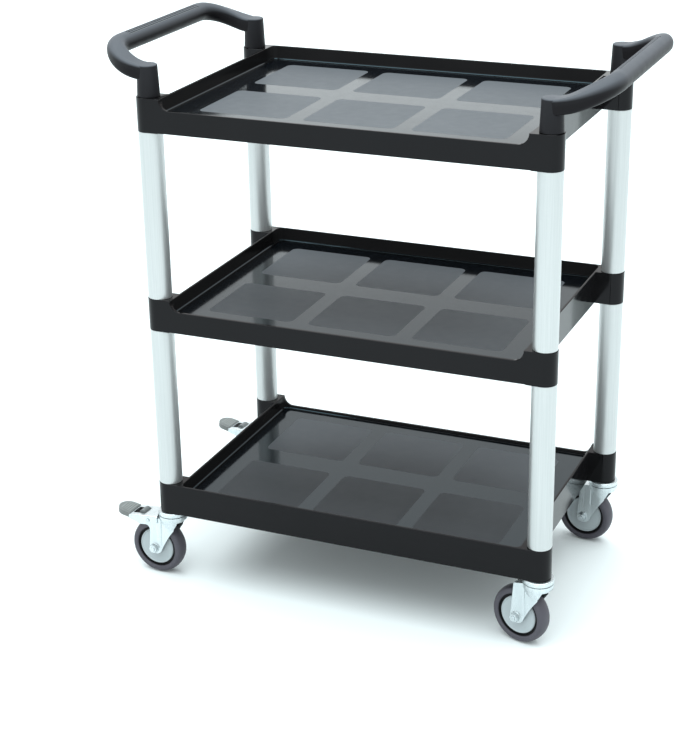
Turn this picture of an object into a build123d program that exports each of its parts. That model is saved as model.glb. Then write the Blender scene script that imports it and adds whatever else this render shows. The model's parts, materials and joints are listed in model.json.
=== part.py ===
"""Serving trolley: three moulded trays on round posts, two push handles and four swivel casters.

Millimetres, +Z up. The floor is Z = 0, +X runs along the trolley and -Y is its front.
The origin lies midway between the tips of the brake pedals and the far handle grip.
"""

import os
from math import cos, pi, radians, sin, sqrt, tan

from build123d import *

# Posts, and the trays they hold apart
post_spacing_x = 666.0
post_spacing_y = 388.0
post_diameter = 40.0
post_wall = 1.5
tray_pitch = 339.0
tray_height = 56.0

# Tray moulding
boss_wall = 4.6
end_wall_inset = 24.0  # from the post axis to the outer face of the end wall
tray_wall = 4.0
tray_depth = 23.5
tray_corner = 9.0
wall_draft = 3.0  # degrees
floor_fillet = 4.0
floor_thickness = 3.0
lip_drop = 18.0
skirt_lift = 3.0
rim_edge = 0.8
rib_thickness = 2.5
rib_depth = 14.0
ribs_along = 5
ribs_across = 8

# Inserts that hold trays, posts and handles together
plug_wall = 2.4
spigot_wall = 4.0
spigot_depth = 38.0  # how far a spigot reaches into a post
plug_length = 42.0
socket_depth = 62.0  # how far the caster stem reaches into its socket

# Push handles
stub_height = 51.0
stub_step = 2.15  # edge of the boss left showing round a stub
stub_lean = 2.0  # how much a stub's side leans in towards the top
stub_round = 2.5
arm_sink = 0.4  # top of an arm under the top of its stub
arm_width = 32.6
arm_height = 23.5
arm_round = 4.0
arm_sections = 6
grip_diameter = 31.6
grip_reach = 79.4  # from the post axis to the grip axis
grip_height = 66.5  # grip axis over the top tray
grip_corner = 61.0
grip_slope = 0.45  # rise of an arm over its run where it joins the grip
flute_count = 3
flute_pitch = 14.0  # degrees
flute_diameter = 3.2
flute_depth = 0.8
flute_length = 200.0

# Wheels
wheel_diameter = 100.0
tyre_width = 27.0
tread_drop = 3.6
tyre_shoulder = 3.0
tyre_depth = 13.5
rim_seat = 12.0  # from the tread to the rim the tyre sits on
rim_width = 16.0
rim_thickness = 4.5
web_thickness = 6.0
hub_diameter = 24.0
cover_gap = 3.5  # between a hub cover's edge and the tyre round it
cover_offset = 11.2  # outer face of a hub cover from the middle of the wheel
cover_thickness = 2.2
cover_round = 1.0
sleeve_diameter = 12.0
axle_diameter = 8.0
axle_head = 13.0  # across the flats
axle_head_height = 4.0
axle_nut_height = 6.8
axle_end = 1.5  # thread past the nut

# Swivel forks
trail = 31.0
wheel_headroom = 13.5
fork_plate = 3.5
fork_sheet = 2.5
fork_inside = 32.0
head_diameter = 51.0
flare_drop = 5.5
flare_height = 19.0
crown_skirt = 10.0  # swivel plate's skirt over the wheel, from the plate's top
leg_drop = 1.0  # leg tops under the swivel plate's top
leg_dip = 4.5  # how much a leg's top edge falls to the rear
braked_leg_drop = 7.5  # the same for a fork that carries a brake lever
braked_leg_dip = 1.0
leg_behind = 10.5  # leg edge behind the axle
leg_before = 15.5  # leg edge before the axle
leg_below = 10.5
leg_taper = 5.5  # how much the rear edge leans in towards the top
web_sag = 2.5  # hollow of a leg's front edge
web_past = 1.0  # how far past the swivel plate's rim that edge would end

# Swivel bearing and stem
race_gap = 1.0
cup_height = 8.0
cup_sheet = 3.0
cup_edge = 1.2
ring_width = 8.0
ring_gap = 1.5  # between the ring and the cup round it
stem_diameter = 11.0
king_diameter = 12.0
king_head_diameter = 20.0
king_head_height = 3.0

# Brakes of the two left casters
pin_behind = 9.0  # from the axle, along the trail
pin_above = 3.5  # over the top of the wheel
pin_diameter = 4.5
pin_head_diameter = 6.5
pin_head_height = 1.4
ear_reach = 12.0
ear_above = 5.5  # ear top over the pin, at the axle
ear_end_above = 1.5  # ear top over the pin, at the rear
ear_below = 10.5
ear_fillet = 8.0
lever_sheet = 2.3
lever_eye = 8.0
lever_lead = 18.5  # from the pin forward to the start of the top plate
lever_length = 39.0
lever_rise = 10.8  # start of the top plate over the pin
lever_slope = 7.0  # degrees
lever_nose = 3.0  # front lower corner of the flange under the pin
lever_clear = 1.5  # round the fork's swivel plate
lever_end_depth = 7.0
lever_knee = 16.0  # where the lower edge of the flange is lowest, behind the pin
lever_knee_drop = 10.5
slot_bar = 3.0  # what is left of the top plate behind the slot
slot_gap = 0.5  # before the shoe's knob
slot_side = 2.5  # beside the shoe's knob
tongue_length = 18.0
tongue_width = 24.0
pad_length = 31.0
pad_width = 37.0
pad_thickness = 9.0
pad_proud = 1.2
pad_tilt = 9.0  # degrees
pad_ribs = 5
pad_rib_inset = 4.4
pad_rib_pitch = 4.4
pad_rib_width = 1.8
pad_rib_height = 0.9
pedal_travel = 14.0  # degrees
shoe_start = 7.0
shoe_length = 14.0
shoe_width = 24.0
shoe_knob_diameter = 13.0
shoe_knob_width = 18.0
shoe_knob_reach = 17.5  # knob axis behind the pin
shoe_knob_rise = 4.5  # knob axis over the pin
shoe_gap = 0.6  # between shoe and tyre with the pedal down

# Clearances
fit_gap = 0.05  # radial, between a pin or spigot and its hole
swing_gap = 0.3  # between faces that pass each other
hub_gap = 0.5  # between hub ends and fork legs

# Directions the casters trail in, degrees from +X, as they stand
headings = {
    "front_left": 176.5,
    "front_right": 164.0,
    "back_left": 174.0,
    "back_right": 172.0,
}
braked = ("front_left", "back_left")

# Derived sizes
half_x = post_spacing_x / 2
half_y = post_spacing_y / 2
post_radius = post_diameter / 2
spigot_radius = post_radius - post_wall - plug_wall - 2 * fit_gap
bore_radius = spigot_radius + fit_gap
boss_radius = bore_radius + boss_wall
end_wall_x = half_x - end_wall_inset
side_wall_y = half_y + boss_radius
floor_z = tray_height - tray_depth
lip_z = tray_height - lip_drop
post_length = tray_pitch - tray_height
grip_radius = grip_diameter / 2
stub_base_radius = boss_radius - stub_step
arm_straight = grip_reach - grip_corner
arm_root = stub_height - arm_sink - arm_height / 2

wheel_radius = wheel_diameter / 2
rim_radius = wheel_radius - rim_seat
bead_radius = wheel_radius - tyre_depth
leg_inner = fork_inside / 2
leg_outer = leg_inner + fork_sheet
head_radius = head_diameter / 2
plate_under = wheel_diameter + wheel_headroom
fork_top = plate_under + fork_plate
cup_bottom = fork_top + race_gap
tray_clear = cup_bottom + cup_height

pin_x = trail + pin_behind
pin_z = wheel_diameter + pin_above
lever_inner = leg_outer + swing_gap
lever_outer = lever_inner + lever_sheet
plate_start_x = pin_x - lever_lead
plate_start_z = pin_z + lever_rise
plate_end_x = pin_x + lever_length
plate_end_z = plate_start_z - (plate_end_x - plate_start_x) * tan(radians(lever_slope))
pad_reach = plate_end_x + pad_length * cos(radians(pad_tilt))
knob_x = pin_x + shoe_knob_reach
slot_start_x = knob_x - shoe_knob_diameter / 2 - slot_gap
slot_end_x = plate_end_x - slot_bar

bottom_level = tray_clear
middle_level = bottom_level + tray_pitch
top_level = middle_level + tray_pitch
top_face = top_level + tray_height

# Half the difference between what the pedals and the grips add beyond the posts
frame_x = (pad_reach - grip_reach - grip_radius) / 2

axle_plane = Plane(origin=(trail, 0, wheel_radius), x_dir=(1, 0, 0), z_dir=(0, 0, 1))
axle_axis = Axis((trail, 0, wheel_radius), (0, 1, 0))
pad_plane = Plane(
    origin=(plate_end_x, 0, plate_end_z),
    x_dir=(cos(radians(pad_tilt)), 0, sin(radians(pad_tilt))),
    z_dir=(-sin(radians(pad_tilt)), 0, cos(radians(pad_tilt))),
)
corner_points = [(x, y) for x in (-half_x, half_x) for y in (-half_y, half_y)]


def corner_of(name):
    """Post axis of a corner, measured from the middle of the four posts."""
    depth, side = name.split("_")
    return (half_x if side == "right" else -half_x, half_y if depth == "back" else -half_y)


def frame_place(z=0, turn=1):
    """Where a piece drawn about the middle of the posts stands, turned half round for turn -1."""
    return Plane(origin=(frame_x, 0, z), x_dir=(turn, 0, 0), z_dir=(0, 0, 1)).location


def caster_place(name):
    """Where a caster piece drawn with the stem on Z and trailing along +X stands."""
    x, y = corner_of(name)
    heading = radians(headings[name])
    return Plane(
        origin=(frame_x + x, y, 0),
        x_dir=(cos(heading), sin(heading), 0),
        z_dir=(0, 0, 1),
    ).location


def save(piece, name, place):
    """Place a finished piece and write it as one node."""
    placed = piece.moved(place)
    placed.label = name
    export_step(placed, f"parts/{name}.step")


def plate_under_z(x):
    """Height of the underside of the lever's top plate."""
    drop = (x - plate_start_x) * tan(radians(lever_slope))
    return plate_start_z - drop - lever_sheet / cos(radians(lever_slope))


def make_tray():
    """Tray with bored corner bosses, low front lip and ribbed underside, on its boss ends."""
    inner_x = end_wall_x - tray_wall
    inner_y = side_wall_y - tray_wall
    floor_under = floor_z - floor_thickness
    lip_end = inner_x - lip_drop
    with BuildPart() as tray:
        with BuildSketch(Plane.XY.offset(skirt_lift)):
            Rectangle(2 * end_wall_x, 2 * side_wall_y)
        extrude(amount=tray_height - skirt_lift)
        with BuildSketch():
            with Locations(*corner_points):
                Circle(boss_radius)
            for x, y in corner_points:
                with Locations(((abs(x) - end_wall_inset / 2) * (1 if x > 0 else -1), y)):
                    Rectangle(end_wall_inset, 2 * boss_radius)
        extrude(amount=tray_height)
        with BuildSketch(Plane.XY.offset(tray_height)):
            RectangleRounded(2 * inner_x, 2 * inner_y, tray_corner)
        extrude(amount=-tray_depth, taper=wall_draft, mode=Mode.SUBTRACT)
        floor = tray.faces().filter_by(Plane.XY).group_by(Axis.Z)[-2][0]
        fillet(floor.edges(), radius=floor_fillet)
        rim = tray.faces().filter_by(Plane.XY).sort_by(Axis.Z)[-1]
        chamfer(rim.edges(), length=rim_edge)
        with BuildSketch(Plane.XZ.offset(side_wall_y)):
            with BuildLine():
                Line((-lip_end, lip_z), (lip_end, lip_z))
                CenterArc((lip_end, tray_height), lip_drop, -90, 90)
                Line((inner_x, tray_height), (-inner_x, tray_height))
                CenterArc((-lip_end, tray_height), lip_drop, 180, 90)
            make_face()
        extrude(amount=-(tray_wall + tray_corner), mode=Mode.SUBTRACT)
        front = tray.faces().filter_by(Plane.XZ).sort_by(Axis.Y)[0]
        lip = front.edges().filter_by_position(Axis.Z, lip_z - rim_edge, lip_z + lip_drop / 2)
        chamfer(lip, length=rim_edge)
        with BuildSketch(Plane.XY.offset(skirt_lift)):
            RectangleRounded(2 * inner_x, 2 * inner_y, tray_corner)
        extrude(amount=floor_under - skirt_lift, mode=Mode.SUBTRACT)
        with BuildSketch(Plane.XY.offset(floor_under)):
            with GridLocations(0, 2 * inner_y / (ribs_along + 1), 1, ribs_along):
                Rectangle(2 * inner_x, rib_thickness)
            with GridLocations(2 * inner_x / (ribs_across + 1), 0, ribs_across, 1):
                Rectangle(rib_thickness, 2 * inner_y)
        extrude(amount=-rib_depth)
        with BuildSketch():
            with Locations(*corner_points):
                Circle(bore_radius)
        extrude(amount=tray_height, mode=Mode.SUBTRACT)
    return tray.part


def make_tube(outer, inner, length):
    """Plain tube standing on Z = 0."""
    with BuildPart() as tube:
        with BuildSketch():
            Circle(outer)
            Circle(inner, mode=Mode.SUBTRACT)
        extrude(amount=length)
    return tube.part


def make_post_plugs():
    """Plugs pressed into both ends of every post."""
    levels = [
        bottom_level + tray_height,
        middle_level - plug_length,
        middle_level + tray_height,
        top_level - plug_length,
    ]
    with BuildPart() as plugs:
        for level in levels:
            with BuildSketch(Plane.XY.offset(level)):
                with Locations(*corner_points):
                    Circle(post_radius - post_wall - fit_gap)
                    Circle(bore_radius, mode=Mode.SUBTRACT)
            extrude(amount=plug_length)
    return plugs.part


def make_middle_joiners():
    """Tubular spigots through the middle tray's bosses, into the posts over and under it."""
    with BuildPart() as joiners:
        with BuildSketch(Plane.XY.offset(middle_level - spigot_depth)):
            with Locations(*corner_points):
                Circle(spigot_radius)
                Circle(spigot_radius - spigot_wall, mode=Mode.SUBTRACT)
        extrude(amount=tray_height + 2 * spigot_depth)
    return joiners.part


def make_caster_sockets():
    """Spigots through the bottom tray's bosses, bored for the caster stems."""
    with BuildPart() as sockets:
        with BuildSketch(Plane.XY.offset(bottom_level)):
            with Locations(*corner_points):
                Circle(spigot_radius)
        extrude(amount=tray_height + spigot_depth)
        with BuildSketch(Plane.XY.offset(bottom_level)):
            with Locations(*corner_points):
                Circle(stem_diameter / 2 + fit_gap)
        extrude(amount=socket_depth, mode=Mode.SUBTRACT)
    return sockets.part


def arm_plane(travel):
    """Plane square to an arm's centre line, at a distance along its plan from the post axis."""
    turn = max(0, travel - arm_straight) / grip_corner
    x = min(travel, arm_straight) + grip_corner * sin(turn)
    y = grip_corner * (1 - cos(turn))
    part = x / grip_reach
    rise = grip_height - arm_root
    run = grip_slope * grip_reach
    z = arm_root + rise * (3 * part**2 - 2 * part**3) + run * (part**3 - part**2)
    climb = (6 * rise * (part - part**2) + run * (3 * part**2 - 2 * part)) / grip_reach
    return Plane(
        origin=(half_x + x, y - half_y, top_face + z),
        x_dir=(-sin(turn), cos(turn), 0),
        z_dir=(cos(turn), sin(turn), climb * cos(turn)),
    )


def make_handle():
    """Handle over the +X end: two stubs with spigots, and the bent grip between them."""
    arm_length = arm_straight + grip_corner * pi / 2
    with BuildPart() as handle:
        with BuildSketch(Plane.XZ.offset(half_y)):
            with BuildLine():
                Polyline(
                    (half_x, top_level - spigot_depth),
                    (half_x + spigot_radius, top_level - spigot_depth),
                    (half_x + spigot_radius, top_face),
                    (half_x + stub_base_radius, top_face),
                    (half_x + stub_base_radius - stub_lean, top_face + stub_height),
                    (half_x, top_face + stub_height),
                    close=True,
                )
            make_face()
        revolve(axis=Axis((half_x, -half_y, 0), (0, 0, 1)))
        rims = handle.edges().filter_by(GeomType.CIRCLE)
        fillet(rims.group_by(Axis.Z)[-1], radius=stub_round)
        for step in range(arm_sections):
            share = step / (arm_sections - 1)
            blend = 3 * share**2 - 2 * share**3
            width = arm_width + (grip_diameter - arm_width) * blend
            height = arm_height + (grip_diameter - arm_height) * blend
            with BuildSketch(arm_plane(arm_length * share)):
                RectangleRounded(width, height, arm_round + (grip_radius - fit_gap - arm_round) * blend)
        loft()
        with BuildSketch(arm_plane(arm_length)):
            RectangleRounded(grip_diameter, grip_diameter, grip_radius - fit_gap)
        extrude(amount=half_y - grip_corner)
        mirror(about=Plane.XZ)
        with BuildSketch(Plane.XZ):
            with Locations((half_x + grip_reach, top_face + grip_height)):
                with PolarLocations(
                    grip_radius + flute_diameter / 2 - flute_depth,
                    flute_count,
                    start_angle=90,
                    angular_range=flute_count * flute_pitch,
                ):
                    Circle(flute_diameter / 2)
        extrude(amount=flute_length / 2, both=True, mode=Mode.SUBTRACT)
        with BuildSketch(Plane.XY.offset(top_level - spigot_depth)):
            with Locations((half_x, -half_y), (half_x, half_y)):
                Circle(spigot_radius - spigot_wall)
        extrude(amount=tray_height + spigot_depth, mode=Mode.SUBTRACT)
    return handle.part


def make_stem():
    """Stem in the socket, swivel pin through the fork plate and the riveted head under it."""
    with BuildPart() as stem:
        with BuildSketch(Plane.XZ):
            with BuildLine():
                Polyline(
                    (0, plate_under - swing_gap - king_head_height),
                    (king_head_diameter / 2, plate_under - swing_gap - king_head_height),
                    (king_head_diameter / 2, plate_under - swing_gap),
                    (king_diameter / 2, plate_under - swing_gap),
                    (king_diameter / 2, tray_clear),
                    (stem_diameter / 2, tray_clear),
                    (stem_diameter / 2, tray_clear + socket_depth - swing_gap),
                    (0, tray_clear + socket_depth - swing_gap),
                    close=True,
                )
            make_face()
        revolve(axis=Axis.Z)
    return stem.part


def make_cup():
    """Upper race of the swivel bearing, a dished cup under the tray's boss."""
    bore = king_diameter / 2 + fit_gap
    with BuildPart() as cup:
        with BuildSketch(Plane.XZ):
            with BuildLine():
                Polyline(
                    (bore, tray_clear),
                    (head_radius, tray_clear),
                    (head_radius, cup_bottom),
                    (head_radius - cup_sheet, cup_bottom),
                    (head_radius - cup_sheet, tray_clear - cup_sheet),
                    (bore, tray_clear - cup_sheet),
                    close=True,
                )
            make_face()
        revolve(axis=Axis.Z)
        shoulder = cup.edges().group_by(Axis.Z)[-1].sort_by(SortBy.RADIUS)[-1]
        chamfer(shoulder, length=cup_edge)
    return cup.part


def make_ball_ring():
    """Ring of the swivel bearing, carried round on the fork plate."""
    outer = head_radius - cup_sheet - ring_gap
    height = tray_clear - cup_sheet - swing_gap - fork_top
    with BuildPart() as ring:
        with BuildSketch(Plane.XZ):
            with Locations((outer - ring_width / 2, fork_top + height / 2)):
                Rectangle(ring_width, height)
        revolve(axis=Axis.Z)
    return ring.part


def make_fork(with_brake):
    """Pressed fork: swivel plate, flared skirt, two legs, and ears for the brake pin."""
    leg_foot = wheel_radius - leg_below
    leg_top = fork_top - (braked_leg_drop if with_brake else leg_drop)
    leg_end = leg_top - (braked_leg_dip if with_brake else leg_dip)
    flare_top = fork_top - flare_drop
    flare_foot = flare_top - flare_height
    leg_reach = pin_x + ear_reach + fork_sheet
    rear_foot = (trail + leg_behind, wheel_radius)
    front_foot = (trail - leg_before, wheel_radius)
    rear_top = (trail + leg_behind - leg_taper, leg_end)
    web_top = (-head_radius - web_past, flare_top)
    with BuildPart() as fork:
        with BuildSketch(Plane.XZ):
            with BuildLine():
                Polyline(
                    (0, fork_top),
                    (head_radius, fork_top),
                    (head_radius, flare_top),
                    (leg_outer, flare_foot),
                    (leg_outer, leg_foot),
                    (0, leg_foot),
                    close=True,
                )
            make_face()
        revolve(axis=Axis.Z)
        with BuildSketch(Plane.XZ):
            with BuildLine():
                Polyline(
                    (0, leg_foot),
                    (0, leg_top),
                    (leg_outer, leg_top),
                    rear_top,
                    (leg_reach, leg_end),
                    (leg_reach, leg_foot),
                    close=True,
                )
            make_face()
        extrude(amount=leg_outer, both=True)
        with BuildSketch(Plane.XZ):
            with BuildLine():
                Polyline(
                    (0, plate_under),
                    (head_radius - fork_sheet, plate_under),
                    (head_radius - fork_sheet, flare_top),
                    (leg_inner, flare_foot),
                    (leg_inner, leg_foot),
                    (0, leg_foot),
                    close=True,
                )
            make_face()
        revolve(axis=Axis.Z, mode=Mode.SUBTRACT)
        with BuildSketch(Plane.XY.offset(leg_foot)):
            Rectangle(3 * leg_reach, 2 * leg_inner)
        extrude(amount=fork_top - crown_skirt - leg_foot, mode=Mode.SUBTRACT)
        with BuildSketch(Plane.XZ):
            with BuildLine():
                Polyline(
                    web_top,
                    (web_top[0], fork_top),
                    (rear_top[0], fork_top),
                    rear_top,
                    rear_foot,
                )
                ThreePointArc(rear_foot, (trail + (leg_behind - leg_before) / 2, leg_foot), front_foot)
                SagittaArc(front_foot, web_top, -web_sag)
            make_face()
            if with_brake:
                with BuildLine():
                    FilletPolyline(
                        (trail, pin_z + ear_above),
                        (pin_x + ear_reach, pin_z + ear_end_above),
                        (pin_x + ear_reach, pin_z - ear_below),
                        (trail + leg_behind - leg_taper / 2, pin_z - ear_below),
                        (trail + leg_behind - leg_taper / 2, wheel_radius),
                        (trail, wheel_radius),
                        radius=(fork_sheet, fork_sheet, ear_fillet, 0),
                    )
                    Line((trail, wheel_radius), (trail, pin_z + ear_above))
                make_face()
        extrude(amount=head_radius, both=True, mode=Mode.INTERSECT)
        with BuildSketch(Plane.XZ):
            with BuildLine():
                Polyline(
                    (0, leg_foot),
                    (0, leg_top - fork_sheet),
                    (leg_outer, leg_top - fork_sheet),
                    (rear_top[0], leg_end - fork_sheet),
                    (rear_top[0], fork_top),
                    (leg_reach, fork_top),
                    (leg_reach, leg_foot),
                    close=True,
                )
            make_face()
        extrude(amount=leg_inner, both=True, mode=Mode.SUBTRACT)
        with BuildSketch():
            Circle(king_diameter / 2 + fit_gap)
        extrude(amount=fork_top, mode=Mode.SUBTRACT)
        with BuildSketch(Plane.XZ):
            with Locations((trail, wheel_radius)):
                Circle(axle_diameter / 2 + fit_gap)
            if with_brake:
                with Locations((pin_x, pin_z)):
                    Circle(pin_diameter / 2 + fit_gap)
        extrude(amount=head_radius, both=True, mode=Mode.SUBTRACT)
    return fork.part


def make_axle():
    """Axle bolt through both legs, and its nut."""
    with BuildPart() as axle:
        with BuildSketch(Plane.XZ.offset(leg_outer)):
            with Locations((trail, wheel_radius)):
                RegularPolygon(axle_head / 2, 6, major_radius=False)
        extrude(amount=axle_head_height)
        with BuildSketch(Plane.XZ.offset(leg_outer)):
            with Locations((trail, wheel_radius)):
                Circle(axle_diameter / 2)
        extrude(amount=-(2 * leg_outer + axle_nut_height + axle_end))
        with BuildSketch(Plane.XZ.offset(-leg_outer)):
            with Locations((trail, wheel_radius)):
                RegularPolygon(axle_head / 2, 6, major_radius=False)
                Circle(axle_diameter / 2 + fit_gap, mode=Mode.SUBTRACT)
        extrude(amount=-axle_nut_height)
    return axle.part


def make_wheel_ring(points):
    """Solid of revolution about the axle, from (radius, offset) points."""
    with BuildPart() as ring:
        with BuildSketch(axle_plane):
            with BuildLine():
                Polyline(*points, close=True)
            make_face()
        revolve(axis=axle_axis)
    return ring.part


def make_sleeve():
    """Spacer tube on the axle, held between the legs."""
    return make_wheel_ring(
        [
            (axle_diameter / 2 + fit_gap, -leg_inner),
            (sleeve_diameter / 2, -leg_inner),
            (sleeve_diameter / 2, leg_inner),
            (axle_diameter / 2 + fit_gap, leg_inner),
        ]
    )


def make_tyre():
    """Tyre with a crowned tread and rounded shoulders."""
    half = tyre_width / 2
    shoulder = wheel_radius - tread_drop
    with BuildPart() as tyre:
        with BuildSketch(axle_plane) as profile:
            with BuildLine():
                ThreePointArc((shoulder, -half), (wheel_radius, 0), (shoulder, half))
                Polyline(
                    (shoulder, half),
                    (bead_radius, half),
                    (bead_radius, rim_width / 2),
                    (rim_radius, rim_width / 2),
                    (rim_radius, -rim_width / 2),
                    (bead_radius, -rim_width / 2),
                    (bead_radius, -half),
                    (shoulder, -half),
                )
            make_face()
            fillet(profile.vertices().group_by(Axis.X)[-1], radius=tyre_shoulder)
        revolve(axis=axle_axis)
    return tyre.part


def make_core():
    """Wheel core: rim, web and a hub that turns on the sleeve."""
    hub_half = leg_inner - hub_gap
    bore = sleeve_diameter / 2 + fit_gap
    hub = hub_diameter / 2
    inner_rim = rim_radius - rim_thickness
    return make_wheel_ring(
        [
            (bore, -hub_half),
            (hub, -hub_half),
            (hub, -web_thickness / 2),
            (inner_rim, -web_thickness / 2),
            (inner_rim, -rim_width / 2),
            (rim_radius, -rim_width / 2),
            (rim_radius, rim_width / 2),
            (inner_rim, rim_width / 2),
            (inner_rim, web_thickness / 2),
            (hub, web_thickness / 2),
            (hub, hub_half),
            (bore, hub_half),
        ]
    )


def make_hub_covers():
    """Pair of discs that close the wheel on both sides, pushed onto the hub."""
    hub = hub_diameter / 2 + fit_gap
    edge = bead_radius - cover_gap
    with BuildPart() as covers:
        for side in (-1, 1):
            with BuildSketch(axle_plane):
                with BuildLine():
                    Polyline(
                        (hub, side * (cover_offset - cover_thickness)),
                        (edge, side * (cover_offset - cover_thickness)),
                        (edge, side * (cover_offset - cover_round)),
                        (edge - cover_round, side * cover_offset),
                        (hub, side * cover_offset),
                        close=True,
                    )
                make_face()
            revolve(axis=axle_axis)
    return covers.part


def make_lever():
    """Brake pedal lever: two flanges over the fork ears and a slotted top plate."""
    end_x = plate_end_x + lever_end_depth * sin(radians(pad_tilt))
    end_z = plate_end_z - lever_end_depth * cos(radians(pad_tilt))
    with BuildPart() as lever:
        with BuildSketch(Plane.XZ):
            with BuildLine():
                Polyline(
                    (plate_start_x, plate_start_z),
                    (plate_end_x, plate_end_z),
                    (end_x, end_z),
                    (pin_x + lever_knee, pin_z - lever_knee_drop),
                    (pin_x, pin_z - lever_eye),
                    (plate_start_x, pin_z - lever_nose),
                    close=True,
                )
            make_face()
            with Locations((pin_x, pin_z)):
                Circle(lever_eye)
        extrude(amount=lever_outer, both=True)
        with BuildSketch(Plane.XZ):
            with BuildLine():
                Polyline(
                    (0, plate_under_z(0)),
                    (end_x, plate_under_z(end_x)),
                    (end_x, wheel_radius),
                    (0, wheel_radius),
                    close=True,
                )
            make_face()
        extrude(amount=lever_inner, both=True, mode=Mode.SUBTRACT)
        with BuildSketch(Plane.XY.offset(pin_z)):
            with Locations(((slot_start_x + slot_end_x) / 2, 0)):
                Rectangle(slot_end_x - slot_start_x, shoe_knob_width + 2 * slot_side)
        extrude(amount=2 * lever_rise, mode=Mode.SUBTRACT)
        with BuildSketch(Plane.XY.offset(wheel_radius)):
            Circle(head_radius + lever_clear)
        extrude(amount=wheel_diameter, mode=Mode.SUBTRACT)
        with BuildSketch(pad_plane):
            with Locations((tongue_length / 2 - lever_sheet / 2, 0)):
                Rectangle(tongue_length + lever_sheet, tongue_width)
        extrude(amount=-lever_sheet)
        with BuildSketch(Plane.XZ):
            with Locations((pin_x, pin_z)):
                Circle(pin_diameter / 2 + fit_gap)
        extrude(amount=lever_outer, both=True, mode=Mode.SUBTRACT)
    return lever.part


def make_pad():
    """Ribbed pad pushed over the lever's tongue."""
    half = pad_width / 2
    straight = pad_length - half
    with BuildPart() as pad:
        with BuildSketch(pad_plane.offset(pad_proud)):
            with Locations((straight / 2, 0)):
                Rectangle(straight, pad_width)
            with Locations((straight, 0)):
                Circle(half)
            with Locations((-half, 0)):
                Rectangle(pad_width, 2 * pad_width, mode=Mode.SUBTRACT)
        extrude(amount=-pad_thickness)
        with BuildSketch(pad_plane.offset(pad_proud)):
            for rib in range(pad_ribs):
                x = straight + (rib - pad_ribs // 2) * pad_rib_pitch
                reach = half - pad_rib_inset
                if x > straight:
                    reach = sqrt(half**2 - (x - straight) ** 2) - pad_rib_inset
                with Locations((x, 0)):
                    Rectangle(pad_rib_width, 2 * reach)
        extrude(amount=pad_rib_height)
        with BuildSketch(pad_plane.offset(fit_gap)):
            with Locations((tongue_length / 2, 0)):
                Rectangle(tongue_length + 2 * fit_gap, tongue_width + 2 * fit_gap)
        extrude(amount=-(lever_sheet + 2 * fit_gap), mode=Mode.SUBTRACT)
    return pad.part


def make_shoe():
    """Brake shoe under the top plate; its knob shows in the slot."""
    start = pin_x + shoe_start
    end = start + shoe_length
    away_x = trail - pin_x
    away_z = wheel_radius - pin_z
    turn = radians(pedal_travel)
    met_x = pin_x + away_x * cos(turn) - away_z * sin(turn)
    met_z = pin_z + away_x * sin(turn) + away_z * cos(turn)
    with BuildPart() as shoe:
        with BuildSketch(Plane.XZ):
            with BuildLine():
                Polyline(
                    (start, plate_under_z(start)),
                    (end, plate_under_z(end)),
                    (end, met_z),
                    (start, met_z),
                    close=True,
                )
            make_face()
            with Locations((met_x, met_z)):
                Circle(wheel_radius + shoe_gap, mode=Mode.SUBTRACT)
        extrude(amount=shoe_width / 2, both=True)
        with BuildSketch(Plane.XZ):
            with Locations((knob_x, pin_z + shoe_knob_rise)):
                Circle(shoe_knob_diameter / 2)
        extrude(amount=shoe_knob_width / 2, both=True)
    return shoe.part


def make_pin():
    """Brake pin, riveted over at both ends."""
    grip = lever_outer + swing_gap
    with BuildPart() as pin:
        with BuildSketch(Plane.XZ):
            with Locations((pin_x, pin_z)):
                Circle(pin_diameter / 2)
        extrude(amount=grip, both=True)
        for side in (-1, 1):
            with BuildSketch(Plane.XZ.offset(side * grip)):
                with Locations((pin_x, pin_z)):
                    Circle(pin_head_diameter / 2)
            extrude(amount=side * pin_head_height)
    return pin.part


os.makedirs("parts", exist_ok=True)

tray = make_tray()
save(tray, "bottom_tray", frame_place(bottom_level, -1))
save(tray, "middle_tray", frame_place(middle_level))
save(tray, "top_tray", frame_place(top_level))

post = make_tube(post_radius, post_radius - post_wall, post_length)
for corner in headings:
    corner_x, corner_y = corner_of(corner)
    for tier, level in (("lower", bottom_level), ("upper", middle_level)):
        stand = Plane((frame_x + corner_x, corner_y, level + tray_height)).location
        save(post, f"{corner}_{tier}_post", stand)

save(make_post_plugs(), "post_plugs", frame_place())
save(make_middle_joiners(), "middle_joiners", frame_place())
save(make_caster_sockets(), "caster_sockets", frame_place())

handle = make_handle()
save(handle, "right_handle", frame_place())
save(handle, "left_handle", frame_place(0, -1))

caster_pieces = {
    "caster_stem": make_stem(),
    "swivel_cup": make_cup(),
    "ball_ring": make_ball_ring(),
    "axle": make_axle(),
    "axle_sleeve": make_sleeve(),
    "tyre": make_tyre(),
    "wheel_core": make_core(),
    "hub_covers": make_hub_covers(),
}
brake_pieces = {
    "brake_lever": make_lever(),
    "brake_pad": make_pad(),
    "brake_shoe": make_shoe(),
    "brake_pin": make_pin(),
}
plain_fork = make_fork(False)
brake_fork = make_fork(True)
for corner in headings:
    stand = caster_place(corner)
    for piece_name, piece in caster_pieces.items():
        save(piece, f"{corner}_{piece_name}", stand)
    if corner in braked:
        save(brake_fork, f"{corner}_fork", stand)
        for piece_name, piece in brake_pieces.items():
            save(piece, f"{corner}_{piece_name}", stand)
    else:
        save(plain_fork, f"{corner}_fork", stand)
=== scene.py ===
"""Looks of the serving trolley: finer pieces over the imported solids, finishes, studio and camera.

Lengths are in metres. A caster's own frame has its stem on Z, trails along X and stands on zero.
"""

import json
import math

import bmesh
import bpy
from mathutils import Matrix, Vector


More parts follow.
